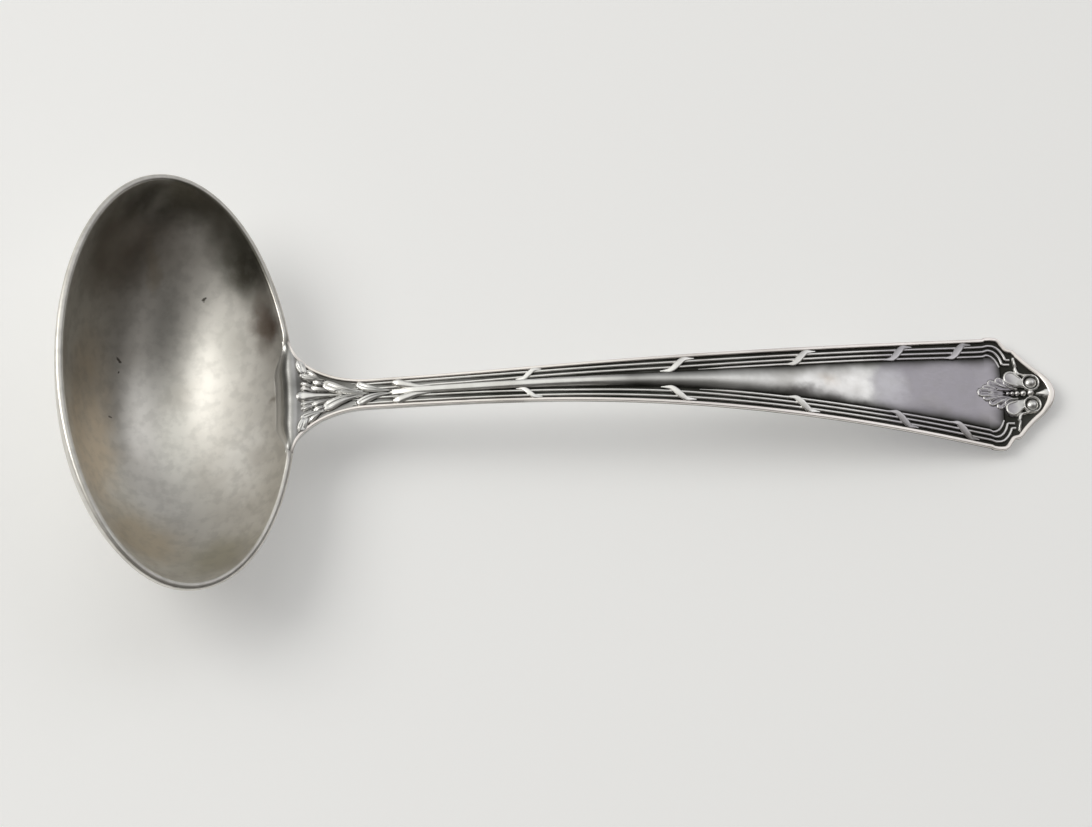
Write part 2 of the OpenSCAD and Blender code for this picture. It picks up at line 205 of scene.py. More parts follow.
def band(x):
    """Width of the border with the reeds, most of which it gains along the neck."""
    rest = band_at_end - band_at_neck - band_gain
    return band_at_neck + band_gain * ease(-25, 34, x) + rest * ease(50, 79, x)


def thickness(x):
    """How thick the handle is along its length."""
    t = np.clip((x - neck_x) / (bend_x - neck_x), 0, 1)
    return end_thickness + (neck_thickness - end_thickness) * (1 - t) ** 1.4


print("half width at the neck", float(half_width(neck_x)),
      "and at the shoulders", float(half_width(shoulder_x)))

# %% [markdown]
# ## Near the bowl
# The handle's first millimetres bend with the oval rim. This moves a point of the straight
# handle to its place on the bent one, so every later piece can be laid out on a straight strip.

# %% Places on the handle
heel_span, heel_drop, heel_tuck = 7.0, 1.4, 0.65
corner_sink, root_half = 0.75, neck_width / 2 + root_flare


def near_root(x):
    """1 next to the bowl and 0 where the handle is straight."""
    return 1 - ease(root_x, root_x + heel_span, x)


def wall_reach(y, down, inside=False):
    """How far the bowl's wall lies from its middle line, at y and this far below the rim."""
    wall = bowl_wall if inside else 0
    depth = bowl_depth if inside else bowl_depth + bowl_wall
    left = 1 - (np.asarray(down, float) / depth) ** bowl_fullness - (y / (semi_long - wall)) ** 2
    return (semi_short - wall) * np.sqrt(np.maximum(0, left))


def on_handle(x, y, h, down=0.0):
    """The place of a point h above the field, or down below it, bent with the rim."""
    x, y, h, down = (np.asarray(v, float) for v in np.broadcast_arrays(x, y, h, down))
    k = near_root(x)
    bow = k * (semi_short - wall_reach(y, 0))
    tuck = wall_reach(y, 0) - wall_reach(y, down) - bowl_wall * heel_tuck * np.minimum(1, down)
    sink = corner_sink * k * np.minimum(1, abs(y) / root_half) ** 5 * (1 - np.minimum(1, down))
    return np.stack([
        x - bow * cos_tilt - k * (tuck * cos_tilt + down * sin_tilt), y,
        field_z(x) + h + bow * sin_tilt - sink - down * (1 - k)
        + k * (tuck * sin_tilt - down * cos_tilt),
    ], -1)


print("the root is", round(2 * root_half, 1), "mm wide")

# %% [markdown]
# ## The relief
# Leaves and scrolls are struck into the metal, so they are heights on one surface: each is a
# few strokes along paths, with their own width and height. A form struck over another leaves a
# fine notch round itself, as a chasing tool does. The same strokes say where tarnish stays.


# %% Strokes
FAR = 9.0  # more than any height or distance that a form can have


def bend(a, b, c, n):
    """A curve of n steps from a to c that is drawn towards b."""
    t = np.linspace(0, 1, n + 1)[:, None]
    a, b, c = (np.array(p, float) for p in (a, b, c))
    return a * (1 - t) ** 2 + b * 2 * t * (1 - t) + c * t * t


def stroke(x, y, path, half):
    """For each point near a path: its share along, and its share of the way across."""
    path, half = np.asarray(path, float), np.asarray(half, float)
    lo, hi = path.min(0) - half.max() * 1.3, path.max(0) + half.max() * 1.3
    near = np.nonzero((x > lo[0]) & (x < hi[0]) & (y > lo[1]) & (y < hi[1]))[0]
    px, py = x[near], y[near]
    best, along = np.full(len(near), FAR), np.zeros(len(near))
    for i in range(len(path) - 1):
        d = path[i + 1] - path[i]
        rx, ry = px - path[i, 0], py - path[i, 1]
        t = np.clip((rx * d[0] + ry * d[1]) / (d @ d), 0, 1)
        q = np.hypot(rx - t * d[0], ry - t * d[1]) / (half[i] * (1 - t) + half[i + 1] * t)
        better = q < best
        best[better] = q[better]
        along[better] = (i + t[better]) / (len(path) - 1)
    return near, along, best


class Relief:
    """Heights over the smooth field, and how much tarnish stays, at a set of places."""

    notch = 0.18

    def __init__(self, x, y, height, ink):
        self.x, self.y, self.v, self.h, self.ink = x, y, abs(y), height, ink

    def strike(self, strokes, one_side=False, high=leaf_height, crease=0.0, lip=0.0,
               edge_ink=0.85, body_ink=0.0, even=False, worn=0.0, joins=False):
        """Strikes one form made of (path, half widths) strokes over what is there.

        Its edge and its body can hold tarnish (ink), and worn crests are bright. An even form
        keeps its height, and one that joins has no notch where it meets higher ground.
        """
        lift, nearest = np.full(len(self.x), -FAR), np.full(len(self.x), FAR)
        fold = np.zeros(len(self.x))
        for path, half in strokes:
            near, along, q = stroke(self.x, self.y if one_side else self.v, path, half)
            dome = np.sqrt(np.clip(1 - q ** (2 if even and not lip else 4), 0, 1))
            swell = np.sin(math.pi * np.minimum(1, along**1.3) * 0.9)
            crown = 1.0 if even else 0.62 + 0.38 * swell
            line = np.exp(-((q / 0.2) ** 2)) * ease(0.02, 0.4, along)
            rim = np.exp(-np.square((q - 0.78) / 0.13)) * ease(0.2, 0.6, along)
            rise = high * (crown * dome * (1 - crease * line + lip * rim))
            wins = (rise > lift[near]) & (q < 1)
            lift[near[wins]] = rise[wins]
            shade = crease * line + body_ink * (1 - ease(0.35, 0.9, along)) * (1 - rim)
            shade = shade - worn * (rim if lip else 1.0)
            fold[near[wins]] = shade[wins]
            nearest[near] = np.minimum(nearest[near], q)
        notch = 0.0 if joins else self.notch
        struck = (nearest < 1) & (lift - ground_depth > self.h - notch)
        self.h[struck] = lift[struck] - ground_depth
        border = edge_ink * ease(0.8, 1.0, nearest[struck])
        self.ink[struck] = np.clip(border + fold[struck], -1, 1)
        outside = (nearest >= 1) & (nearest < 1.25) & (self.h < (0.1 if joins else FAR))
        shade = edge_ink * (1 - ease(1.0, 1.25, nearest[outside]))
        self.ink[outside] = np.maximum(self.ink[outside], shade)


def leaf_stroke(stem, end, half, bow=0.1, blunt=0.6):
    """A leaf's path and half widths, from its thin stem to its blunt end."""
    stem, end = np.array(stem, float), np.array(end, float)
    d = end - stem
    path = bend(stem, (stem + end) / 2 + np.array([-d[1], d[0]]) * bow, end, 14)
    t = np.linspace(0, 1, len(path))
    return path, half * (0.18 + 0.93 * t**0.75) * np.sqrt(1 - blunt * t**8)


print("a form struck over another leaves a notch of", Relief.notch, "mm")

# %% [markdown]
# ## Where the ground lies
# The middle of the handle is a smooth field. Round it runs a sunk border for the reeds, and at
# the root and past the shoulders the ground of the ornament is sunk as well. On the neck the
# field rises to a rib.

# %% The ground and the rib
corner = np.array([77.0, 79.75])  # where the field's rounded corners start and end
field_low = 4.9  # half the straight width of the field's end
rib_start = root_x + 16


def ground_share(x, y):
    """1 where the ground is sunk and 0 on the smooth field, with a short soft step between."""
    v, w = abs(y), half_width(x)
    inner = w - np.minimum(band(x), 0.8 * w)
    t = np.clip((x - corner[0]) / (corner[1] - corner[0]), 0, 1)
    inner = np.where(x > corner[0], field_low + (inner - field_low) * np.sqrt(1 - t**2), inner)
    inside = np.minimum(inner - v, corner[1] - x)
    open_root = 1 - ease(rib_start - 3, rib_start + 5, x)
    return np.maximum(1 - ease(0, 0.22, inside), open_root), inside


def rib_rise(x, y):
    """The rib's height: flat on top on the neck, and round where it fades into the field."""
    inner = half_width(x) - 0.97 * band(x)
    grow = ease(rib_start - 1, rib_start + 7, x) * (1 - 0.85 * ease(arch_x + 20, arch_x + 50, x))
    q = np.clip(abs(y) / inner, 0, 1)
    flat_top = 2 + (1 - ease(5, 28, x)) + 4 * (1 - ease(-30, 8, x))
    return rib_height * grow * (1 - q**flat_top)


GROOVE_NECK, GROOVE_GAIN = 0.74, 0.19
GROOVE_WIDE = GROOVE_NECK + GROOVE_GAIN


def groove_tone(x):
    """Rubbed light on the neck, and darker where the handle widens."""
    return GROOVE_NECK + GROOVE_GAIN * ease(-32, 0, x)


print("the smooth field ends at x =", corner[1])

# %% [markdown]
# ## Leaves at the root
# A bud stands on the middle line against the bowl, with petals and leaves on both sides. Up
# the neck pairs of leaves overlap, and the last pair forks round the start of the rib.

# %% The root's leaves
# Painted shade on the roll over the lip, which dims the lamp's highlight there
ROLL_PAINTED_SHADE = 0.68
# Stem and end, each as distances from the bowl and from the middle line, then half width and bow
ROOT_FORMS = [
    ((4.9, 2.7), (2.5, 4.5), 0.8, 0.1),
    ((2.7, 2.7), (1.2, 6.1), 0.95, 0.12),
    ((2.4, 2.5), (0.8, 6.8), 0.2, 0.08),
    ((5.2, 3.0), (1.5, 4.0), 0.68, 0.1),
    ((5.9, 2.1), (3.5, 2.65), 0.5, 0.1),
    ((3.6, 1.8), (1.4, 2.4), 0.48, 0.1),
    ((3.8, 0.9), (1.3, 1.5), 0.42, 0.0),
    ((6.6, 0.9), (3.2, 1.6), 0.48, 0.08),
    ((11.9, 0.35), (5.7, 2.05), 1.08, 0.13),
    ((13.0, 0.1), (7.3, 0.62), 0.34, 0.04),
    ((16.9, 0.3), (11.4, 1.65), 0.8, 0.13),
]
# The last pair of leaves grows out of the rib
FORK = [(27.0, 0.4), (23.6, 0.44), (21.4, 0.72), (19.4, 1.25), (18.3, 1.6), (17.6, 1.78)]
FORK_HALF = [0.4, 0.44, 0.52, 0.72, 0.8, 0.5]
ROOT_BUD = [(8.2, 0.0), (5.6, 0.0), (3.6, 0.0), (2.5, 0.0), (1.7, 0.0), (1.05, 0.0)]
BUD_HALF = [0.14, 0.34, 0.58, 0.85, 1.05, 0.98]
# The ground sinks over the first length, and within the second all relief ends and the tone turns
# to the roll's painted shade
SINK, SETTLE = 2.2, 0.5


def root_relief(relief):
    base = np.array([root_x, 0.0])
    relief.h *= ease(root_x, root_x + SINK, relief.x)
    relief.strike([(base + FORK, FORK_HALF)], worn=0.3, joins=True)
    for stem, end, half, bow in ROOT_FORMS:
        leaf = leaf_stroke(base + stem, base + end, half, bow, 0.35)
        relief.strike([leaf], crease=0.1, lip=0.08, body_ink=0.55, worn=0.7)
    relief.strike([(base + ROOT_BUD, BUD_HALF)], True, leaf_height * 1.1)
    settle = ease(root_x, root_x + SETTLE, relief.x)
    relief.h *= settle
    # Next to the bowl the tone turns to the roll's painted shade
    relief.ink = relief.ink * settle + ROLL_PAINTED_SHADE * (1 - settle)


print(len(ROOT_FORMS), "forms a side and a bud")

# %% [markdown]
# ## Scrolls and leaves at the tip
# A lobed leaf points back over the smooth field, with a shell of lobes on each side. Behind it
# two scrolls wind round domed eyes, and a drop fills the point.

# %% The tip's ornament
# All are distances back from the tip and from the middle line
SIDE_LEAF = [((7.9, 0.85), (11.65, 1.9), 0.9, -0.18), ((7.6, 1.2), (10.2, 2.45), 0.95, -0.14)]
MIDDLE_LEAF = [((9.6, 0.3), (12.7, 1.0), 0.82, -0.08), ((9.3, 0.0), (13.6, 0.1), 0.95, 0.0)]
SHELL_PATH = bend((5.6, 1.8), (6.9, 2.35), (7.9, 3.0), 24)
SHELL_HALF = np.linspace(0.8, 1.55, 25)
SHELL_CURL = [(6.9, 0.95), (8.3, 1.1), (9.2, 1.75), (9.45, 2.7)]
SCROLL_AT = np.array([4.3, 2.17])
SCROLL_TAIL = [(6.85, 4.95), (6.7, 4.35), (6.3, 3.9), (5.6, 3.72)]
TAIL_HALF = [0.3, 0.32, 0.24, 0.15]
CLASP = [(7.05, 7.0), (6.95, 6.2), (6.75, 5.35)]
DROP = [(3.4, 0.0), (2.5, 0.0), (1.6, 0.0), (0.9, 0.0)]
DROP_HALF = [0.1, 0.42, 0.85, 1.25]


def from_tip(points):
    points = np.asarray(points, float)
    return np.stack([tip_x - points[..., 0], points[..., 1]], -1)


def end_relief(relief):
    for form in (SIDE_LEAF, MIDDLE_LEAF):
        strokes = [leaf_stroke(from_tip(stem), from_tip(end), half, -bow, 0.5)
                   for stem, end, half, bow in form]
        relief.strike(strokes, crease=0.12, lip=0.3, body_ink=0.55, worn=1.0)
    relief.strike([(from_tip(SHELL_PATH), SHELL_HALF)], high=0.66, lip=0.35,
                  body_ink=0.55, even=True, worn=1.0)
    relief.strike([(from_tip(SHELL_CURL), np.full(4, 0.15))], high=0.8, worn=0.6)
    t = np.linspace(0, 1, 40)
    turn = np.radians(100 + 380 * t)
    r = scroll_radius * (1 - 0.1 * ease(0.8, 1, t))
    coil = SCROLL_AT + np.stack([r * np.cos(turn), r * np.sin(turn)], 1)
    gap = np.hypot(relief.x - tip_x + SCROLL_AT[0], relief.v - SCROLL_AT[1])
    bed = gap < scroll_radius
    relief.h[bed], relief.ink[bed] = -ground_depth, 0.9
    relief.strike([(from_tip(np.concatenate([SCROLL_TAIL, coil])),
                    np.concatenate([TAIL_HALF, np.full(40, 0.15)]))], high=0.7, worn=0.6)
    eye_path = from_tip([SCROLL_AT + [0.02, 0], SCROLL_AT - [0.02, 0]])
    relief.strike([(eye_path, np.full(2, 1.05))], high=0.75, even=True)
    relief.strike([(from_tip(CLASP), np.full(3, 0.26))], high=0.6, worn=0.5)
    relief.strike([(from_tip(DROP), DROP_HALF)], True, 0.75, edge_ink=0.4, worn=1.0)


print("a leaf of", 2 * len(SIDE_LEAF) + 3, "lobes, two shells, two scrolls and a drop")


# %% [markdown]
# ## The handle's body
# The body is a fine grid over the top, which carries the relief, and a smooth rounded underside.
# Its ornament needs lines a tenth of a millimetre apart and its plain middle far fewer, so it is
# made in three lengths that meet at a crisp edge. Next to the bowl the top rolls over the lip
# and down the inside of the wall, so no step shows there.


# %% Mesh helpers
def strip(a, b):
    """Triangles between two rows of points, however many each has."""
    faces, i, j = [], 0, 0
    while i < len(a) - 1 or j < len(b) - 1:
        if j == len(b) - 1 or (i < len(a) - 1 and (i + 1) / len(a) <= (j + 1) / len(b)):
            faces.append((a[i], a[i + 1], b[j]))
            i += 1
        else:
            faces.append((a[i], b[j + 1], b[j]))
            j += 1
    return faces


def grid_quads(index, flip=False):
    """Four corners for each cell of a grid of point numbers that closes on itself sideways."""
    wrap = np.concatenate([index, index[:, :1]], 1)
    corners = [wrap[:-1, :-1], wrap[1:, :-1], wrap[1:, 1:], wrap[:-1, 1:]]
    if flip:
        corners = [corners[0], *corners[:0:-1]]
    return np.stack(corners, -1).reshape(-1, 4)


def mark_points(mesh, key, values):
    """Gives each point of a mesh a number under a name."""
    layer = mesh.attributes.new(key, "FLOAT", "POINT")
    layer.data.foreach_set("value", np.asarray(values, np.float32).ravel())


def new_piece(name, points_mm, faces, key, values):
    """A smooth piece from its points in millimetres, its faces and a number for each point."""
    mesh = bpy.data.meshes.new(name)
    points = np.asarray(points_mm, float).reshape(-1, 3) * MM
    mesh.from_pydata(points.tolist(), [], [tuple(int(i) for i in f) for f in faces])
    mesh.validate()
    mark_points(mesh, key, values)
    mesh.polygons.foreach_set("use_smooth", np.ones(len(mesh.polygons), bool))
    return new_object(name, mesh)


def unit(v):
    return v / np.linalg.norm(v, axis=-1, keepdims=True)


print("helpers ready")


# %% The top of the handle
SIDE_INSET = 0.05


def body_half(x):
    """The body stays a little inside the raised edge, which is the outermost line."""
    w = half_width(x)
    return np.maximum(w - SIDE_INSET, 0.8 * w)


# Tarnish on the smooth field: everywhere, added next to the reeds, and how soon that fades
FIELD_TONE, FIELD_EDGE_TONE, FIELD_FADE = 0.42, 0.53, 1.4


def handle_top(stations, across):
    """Places and tarnish over the top, with painted shade next to the bowl: one row for each
    station.
    """
    x = np.repeat(stations[:, None], across, 1)
    y = body_half(x) * np.linspace(-1, 1, across)[None]
    sunk, inside = ground_share(x, y)
    height = -ground_depth * sunk + rib_rise(x, y)
    nearer = np.exp(-np.maximum(inside, 0) / FIELD_FADE)
    field = (FIELD_TONE + FIELD_EDGE_TONE * nearer) * ease(-5, 15, x)
    ink = np.maximum(groove_tone(x) * sunk, field)
    relief = Relief(x.ravel(), y.ravel(), height.ravel().copy(), ink.ravel().copy())
    if stations[0] < rib_start:
        root_relief(relief)
    if stations[-1] > corner[0]:
        end_relief(relief)
    height, ink = relief.h.reshape(x.shape), relief.ink.reshape(x.shape)
    return on_handle(x, y, height), height, ink


# %% The roll over the lip
# Its number of rows, how far down the wall it reaches at most and at least, and its roundness
ROLL, ROLL_DEPTH, ROLL_LEAST, ROLL_ROUND = 24, 3.6, 0.6, 0.55


def roll_depth(y):
    """How far down the wall the roll reaches: least at the corners of the root."""
    return ROLL_DEPTH - (ROLL_DEPTH - ROLL_LEAST) * ease(root_half - 6, root_half, abs(y))


def lip_roll(heights, across):
    """Rows of points from the inner wall up over the lip to the handle's first row."""
    y = body_half(root_x) * np.linspace(-1, 1, across)
    start = on_handle(np.full(across, root_x), y, heights)
    after = on_handle(np.full(across, root_x + 0.2), y, heights)
    deep = roll_depth(y)
    wall_a = seat(wall_reach(y, deep, True), y, -deep)
    wall_b = seat(wall_reach(y, deep + 0.4, True), y, -deep - 0.4)
    outward = np.array([cos_tilt, 0, -sin_tilt])
    turn = ROLL_ROUND * deep[:, None]
    p3 = wall_a - 0.03 * outward
    p1, p2 = start + turn * unit(start - after), p3 + turn * unit(wall_a - wall_b)
    t = np.linspace(1, 0, ROLL + 1)[:-1, None, None]
    return start * (1 - t) ** 3 + 3 * p1 * t * (1 - t) ** 2 + 3 * p2 * t**2 * (1 - t) + p3 * t**3


# %% The skin of one length of the handle
# The underside across: shares of the half width and of the thickness
UNDER = [(-1.0, 0.1), (-0.995, 0.22), (-0.96, 0.42), (-0.88, 0.62), (-0.74, 0.81), (-0.55, 0.93),
         (-0.28, 0.99), (0.0, 1.0)]
UNDER = UNDER + [(-a, b) for a, b in UNDER[-2::-1]]
# Light tarnish on the underside, and painted shade on the handle's sides, which would otherwise
# mirror the pale floor
UNDER_INK, SIDE_PAINTED_SHADE = 0.12, 0.55


def handle_piece(name, stations, across, rolled=False):
    top, height, ink = handle_top(stations, across)
    thick = thickness(stations) + heel_drop * near_root(stations)
    under = np.stack([
        on_handle(stations, a * body_half(stations), height[:, 0] * (1 - b), b * thick)
        for a, b in UNDER
    ], 1)[:, ::-1]
    # The sides get painted shade, the rest of the underside its light tarnish
    side_painted_shade = np.where(np.array([b for _, b in UNDER])[::-1] < 0.6, SIDE_PAINTED_SHADE, UNDER_INK)
    ink = np.concatenate([ink, np.repeat(side_painted_shade[None], len(stations), 0)], 1)
    points = np.concatenate([top, under], 1)
    extra = ROLL if rolled else 0
    if rolled:
        roll = lip_roll(height[0], across)
        roll = np.concatenate([roll, np.repeat(under[:1], ROLL, 0)], 1)
        points = np.concatenate([roll, points])
        row = np.arange(ROLL)[:, None]
        # From the wall up: a painted bright band where the roll mirrors dark surroundings, then
        # painted shade that dims the lamp's highlight, a little deeper partway up
        roll_tone_and_painted_light = ease(7, 11, row) * ink[:1, :across] + 0.16 * np.exp(-np.square((row - 15) / 4))
        roll_tone_and_painted_light = roll_tone_and_painted_light - 0.5 * ease(0, 4, row) * (1 - ease(5, 9, row))
        roll_tone_and_painted_light = np.concatenate([roll_tone_and_painted_light, np.full((ROLL, len(UNDER)), UNDER_INK)], 1)
        ink = np.concatenate([roll_tone_and_painted_light, ink])
    rows, cols = points.shape[:2]
    index = np.arange(rows * cols).reshape(rows, cols)
    index[:extra, across:] = index[extra, across:]
    faces = []
    for quad in grid_quads(index).tolist():
        quad = [p for i, p in enumerate(quad) if p != quad[i - 1]]
        if len(set(quad)) > 2:
            faces.append(quad)
    # The caps at both ends
    for row, flip in ((0, False), (-1, True)):
        a, b = index[row, :across], np.concatenate([index[row, :1], index[row, :across - 1:-1]])
        b = np.append(b, index[row, across - 1])
        cap = [f for f in strip(a, b) if len(set(f)) == 3]
        faces += [f[::-1] if flip else f for f in cap]
    piece = new_piece(name, points, faces, "tarnish_and_painted_light", ink)
    mesh = piece.data
    ends = set(index[0].tolist()) | set(index[-1].tolist())
    sharp = [e.vertices[0] in ends and e.vertices[1] in ends for e in mesh.edges]
    mesh.attributes.new("sharp_edge", "BOOLEAN", "EDGE").data.foreach_set("value", sharp)
    print(name, len(mesh.polygons), "faces, heights", round(float(height.min()), 2),
          "to", round(float(height.max()), 2))
    return piece


# %% The three lengths
shaft_from, shaft_to = root_x + 24.0, 74.0
NECK_STEP, END_STEP = 0.12, 0.085  # how far apart the rows of points lie
ROUND_TIP = 0.5  # the length in which the rows crowd together at the tip
root_part = neck_x - neck_distance * np.cos(np.linspace(0, math.pi / 2, 131))
neck_part = np.arange(neck_x + NECK_STEP, shaft_from - 0.05, NECK_STEP)
end_part = np.arange(shaft_to, tip_x - 0.55, END_STEP)
last_part = tip_x - ROUND_TIP * (1 - np.sin(np.linspace(0, math.pi / 2, 9)))
last_part = np.append(last_part[:-1], tip_x - 1e-3)
body_end = last_part[last_part < tip_x - 0.12]
root_rows = np.concatenate([root_part, neck_part, [shaft_from]])
root_piece = handle_piece("handle_root", root_rows, 161, True)
shaft_piece = handle_piece("handle_shaft", np.linspace(shaft_from, shaft_to, 190), 81)
end_piece = handle_piece("handle_end", np.concatenate([end_part, body_end]), 201)

# %% [markdown]
# ## The bowl
# The bowl is a deep oval shell, thin at the wall, with a rounded lip. Rings of points from its
# middle up the inside, over the lip and down the outside make one closed skin.

# %% The bowl's skin
RIM = 288
around = np.linspace(0, 2 * math.pi, RIM + 1)[:-1]
inner_size = (semi_short - bowl_wall, semi_long - bowl_wall, bowl_depth)
outer_size = (semi_short, semi_long, bowl_depth + bowl_wall)
# The lip's section: how far out from the inner wall and how high above the rim
LIP = [(0.0, -0.42), (0.03, -0.2), (0.12, 0.0), (0.3, 0.12), (0.55, 0.16), (0.8, 0.14),
       (1.05, 0.05), (1.26, -0.12), (1.35, -0.35), (1.3, -0.7), (1.17, -1.1), (1.06, -1.5)]
LIP_CREST = 4
RIM_ANGLE = 1.5708
# Under the roll at the root the wall is pressed down by this share, with some overlap left
PRESSED, OVERLAP = 0.95, 0.3
root_y = abs(semi_long * np.sin(around))
root_side = (np.cos(around) > 0) * (1 - ease(root_half - 1.0, root_half + 1.5, root_y))


def ring(size, t, rise=0.0, out=0.0):
    """A ring of points at the angle t: 0 at the bowl's middle and RIM_ANGLE at its rim."""
    s = math.sin(t)
    z = (-size[2] * bowl_curve(s) if t < RIM_ANGLE else 0.0) + rise
    z = z - PRESSED * root_side * np.maximum(0, z + roll_depth(root_y) - OVERLAP)
    return seat((size[0] + out) * s * np.cos(around), (size[1] + out) * s * np.sin(around), z)


def ring_angles(size, down):
    """Angles for the rings from the bowl's middle to this far below the rim."""
    last = math.asin(float(np.sqrt(1 - (down / size[2]) ** bowl_fullness)))
    return np.linspace(0, last, 61)[1:-1]


inside_rings = [ring(inner_size, t) for t in ring_angles(inner_size, -LIP[0][1])]
lip_rings = [ring(inner_size, RIM_ANGLE, rise, out) for out, rise in LIP]
outside_rings = [ring(outer_size, t) for t in ring_angles(outer_size, -LIP[-1][1])[::-1]]
rings = inside_rings + lip_rings + outside_rings
bowl_points = np.concatenate(rings)
index = np.arange(len(bowl_points)).reshape(len(rings), RIM)
poles = np.array([seat(0, 0, -inner_size[2]), seat(0, 0, -outer_size[2])])
first, last = len(bowl_points), len(bowl_points) + 1
faces = [tuple(q) for q in grid_quads(index, flip=True)]
after = np.roll(index, -1, 1)
faces += [(after[0, j], index[0, j], first) for j in range(RIM)]
faces += [(index[-1, j], after[-1, j], last) for j in range(RIM)]
# The stains and painted light belong to the inside, which only the rings before the lip's crest
# are part of
within = np.arange(len(bowl_points)) < (len(inside_rings) + LIP_CREST) * RIM
bowl = new_piece("bowl", np.concatenate([bowl_points, poles]), faces,
                 "within", np.append(within, [1.0, 0.0]))
print("bowl:", len(bowl.data.polygons), "faces")

# %% [markdown]
# ## Reeds, edge and ribbons
# What follows the outline is swept along it with Geometry Nodes: a path of points carries a
# half width at each point, and a rounded profile is drawn along it. One tree serves the
# raised edge, the reeds and the ribbons, with its height as a named input.


# %% Helpers for nodes
def new_tree(name, kind, inputs, outputs):
    """A node tree with its inputs and outputs, each a name with a kind of socket."""
    tree = bpy.data.node_groups.new(name, kind)
    for way, sockets in (("INPUT", inputs), ("OUTPUT", outputs)):
        for key, socket_kind in sockets.items():
            tree.interface.new_socket(key, in_out=way, socket_type=socket_kind)
    return tree, tree.nodes.new("NodeGroupInput"), tree.nodes.new("NodeGroupOutput")


def wire(tree, rows):
    """Links nodes: each row is a node and its output, then a node and its input."""
    for source, output, target, entry in rows:
        tree.links.new(source.outputs[output], target.inputs[entry])


def fill(tree, node, inputs):
    """Gives a node its inputs. Sockets are linked, plain values are set, colours get an alpha."""
    for key, value in inputs.items():
        socket = node.inputs[key]
        if isinstance(value, bpy.types.NodeSocket):
            tree.links.new(value, socket)
        else:
            socket.default_value = (*value, 1.0) if socket.type == "RGBA" else value
    return node


def half_sizes(tree):
    """The size that each point of a path or a row of beads carries."""
    node = tree.nodes.new("GeometryNodeInputNamedAttribute")
    node.data_type = "FLOAT"
    return fill(tree, node, {"Name": "half"})


SHAPE, NUMBER = "NodeSocketGeometry", "NodeSocketFloat"
print("node helpers ready")


# %% The tree that sweeps a profile along paths
def sweep_tree():
    tree, source, result = new_tree("sweep along path", "GeometryNodeTree", {
        "Geometry": SHAPE, "Sides": "NodeSocketInt", "Roundness": NUMBER,
        "Height share": NUMBER, "Finish": "NodeSocketMaterial",
    }, {"Geometry": SHAPE})
    new = tree.nodes.new
    to_curve, normal = new("GeometryNodeMeshToCurve"), new("GeometryNodeSetCurveNormal")
    normal.mode = "Z_UP"
    size = half_sizes(tree)
    box, stretch = new("GeometryNodeCurvePrimitiveQuadrilateral"), new("GeometryNodeTransform")
    fill(tree, box, {"Width": 2.0, "Height": 2.0})
    round_off, scale = new("GeometryNodeFilletCurve"), new("ShaderNodeCombineXYZ")
    round_off.mode = "POLY"
    fill(tree, round_off, {"Limit Radius": True})
    fill(tree, scale, {"X": 1.0, "Z": 1.0})
    sweep, smooth = new("GeometryNodeCurveToMesh"), new("GeometryNodeSetShadeSmooth")
    fill(tree, sweep, {"Fill Caps": True})
    real, finish = new("GeometryNodeRealizeInstances"), new("GeometryNodeSetMaterial")
    wire(tree, [
        (source, "Geometry", to_curve, "Mesh"), (to_curve, "Curve", normal, "Curve"),
        (box, "Curve", round_off, "Curve"), (source, "Sides", round_off, "Count"),
        (source, "Roundness", round_off, "Radius"), (round_off, "Curve", stretch, "Geometry"),
        (source, "Height share", scale, "Y"), (scale, "Vector", stretch, "Scale"),
        (normal, "Curve", sweep, "Curve"), (stretch, "Geometry", sweep, "Profile Curve"),
        (size, "Attribute", sweep, "Scale"), (sweep, "Mesh", smooth, "Geometry"),
        (smooth, "Geometry", real, "Geometry"), (real, "Geometry", finish, "Geometry"),
        (source, "Finish", finish, "Material"), (finish, "Geometry", result, "Geometry"),
    ])
    return tree


SWEEP = sweep_tree()
print("sweep tree:", len(SWEEP.nodes), "nodes")


# %% Running a tree on paths
def run_tree(name, source, tree, values):
    """Runs a tree on an object, keeps the plain mesh and drops the modifier."""
    modifier = source.modifiers.new("nodes", "NODES")
    modifier.node_group = tree
    for socket in tree.interface.items_tree:
        if socket.in_out == "INPUT" and socket.name in values:
            modifier[socket.identifier] = values[socket.name]
    depsgraph = bpy.context.evaluated_depsgraph_get()
    mesh = bpy.data.meshes.new_from_object(source.evaluated_get(depsgraph))
    bpy.data.objects.remove(source)
    mesh.name = name
    return new_object(name, mesh)


def path_object(name, paths, halves):
    """Paths of points in millimetres, each point with its half width or radius."""
    points, edges, half, start = [], [], [], 0
    for path, wide in zip(paths, halves):
        points.append(np.asarray(path, float))
        half.append(np.broadcast_to(wide, len(path)))
        edges += [(start + i, start + i + 1) for i in range(len(path) - 1)]
        start += len(path)
    mesh = bpy.data.meshes.new(name)
    mesh.from_pydata((np.concatenate(points) * MM).tolist(), edges, [])
    mark_points(mesh, "half", np.concatenate(half) * MM)
    return new_object(name, mesh)


def add_sides(paths, halves, x, y, h, half):
    """Adds a path and its half widths on each side of the middle line."""
    for mirror in (-1, 1):
        paths.append(on_handle(x, mirror * y, h))
        halves.append(half)


def swept(name, paths, halves, height, roundness, sides=4):
    source = path_object(name + "_path", paths, halves)
    values = {"Sides": sides, "Roundness": roundness, "Height share": height}
    piece = run_tree(name, source, SWEEP, values)
    print(name + ":", len(piece.data.polygons), "faces")
    return piece


# %% The raised edge
# Its half width, what it gains on the end's slopes and at the tip, and what the neck takes off
EDGE_HALF, EDGE_SLOPES, EDGE_TIP, EDGE_NECK = 0.34, 0.07, 0.2, 0.06
# The middle of the edge and of the reeds lies a little above the sunk ground
BED = -ground_depth + 0.1


